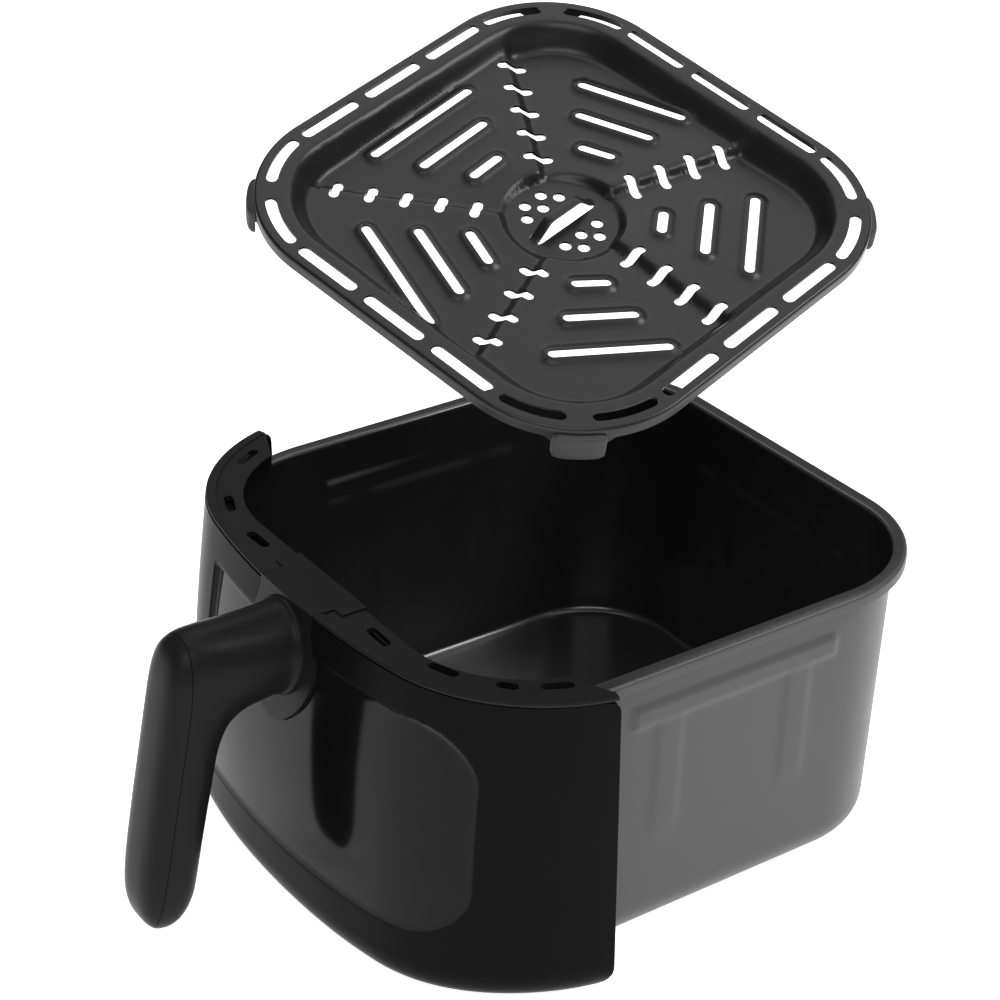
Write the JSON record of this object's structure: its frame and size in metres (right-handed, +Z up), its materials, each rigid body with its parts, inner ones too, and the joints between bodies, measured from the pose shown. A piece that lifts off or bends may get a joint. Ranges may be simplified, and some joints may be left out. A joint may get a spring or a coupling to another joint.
{
  "type": "air fryer drawer",
  "caption": "Square air fryer drawer with rounded corners, bowed black front and L-shaped handle, with a slotted crisper plate lifted out and tilted above it.",
  "frame": {"origin": "centre of the pan's flat underside, which rests on the counter", "axes": "+Z up, -Y towards the handle, +X to the right side seen from behind the handle"},
  "size_m": [0.2662, 0.3286, 0.3219],
  "materials": {
    "pan_coating": "satin non-stick coating",
    "fascia_plastic": "satin moulded plastic",
    "trim_plastic": "fine matte texture",
    "handle_plastic": "satin",
    "steel": "machined",
    "liner_plastic": "matte",
    "plate_coating": "satin non-stick coating",
    "silicone": "matte silicone"
  },
  "bodies": {
    "drawer": {"basket_pan": "pan_coating", "front_fascia": "fascia_plastic", "top_trim_left": "trim_plastic", "top_trim_right": "trim_plastic", "handle_mount_cover": "fascia_plastic", "handle_body": "handle_plastic", "grip_cover": "handle_plastic", "handle_core": "steel", "pan_bracket": "steel", "inner_liner": "liner_plastic", "handle_bolt": "steel", "bracket_screw_left": "steel", "bracket_screw_right": "steel", "liner_screw_lower_left": "steel", "liner_screw_lower_right": "steel", "liner_screw_upper_left": "steel", "liner_screw_upper_right": "steel"},
    "crisper": {"crisper_plate": "plate_coating", "bumper_front_left": "silicone", "bumper_front_right": "silicone", "bumper_rear_left": "silicone", "bumper_rear_right": "silicone"}
  },
  "joints": [
    {"name": "crisper_lift", "type": "slide", "parent": "drawer", "child": "crisper", "axis": [0, 0, 1], "range_m": [-0.12, 0]}
  ]
}
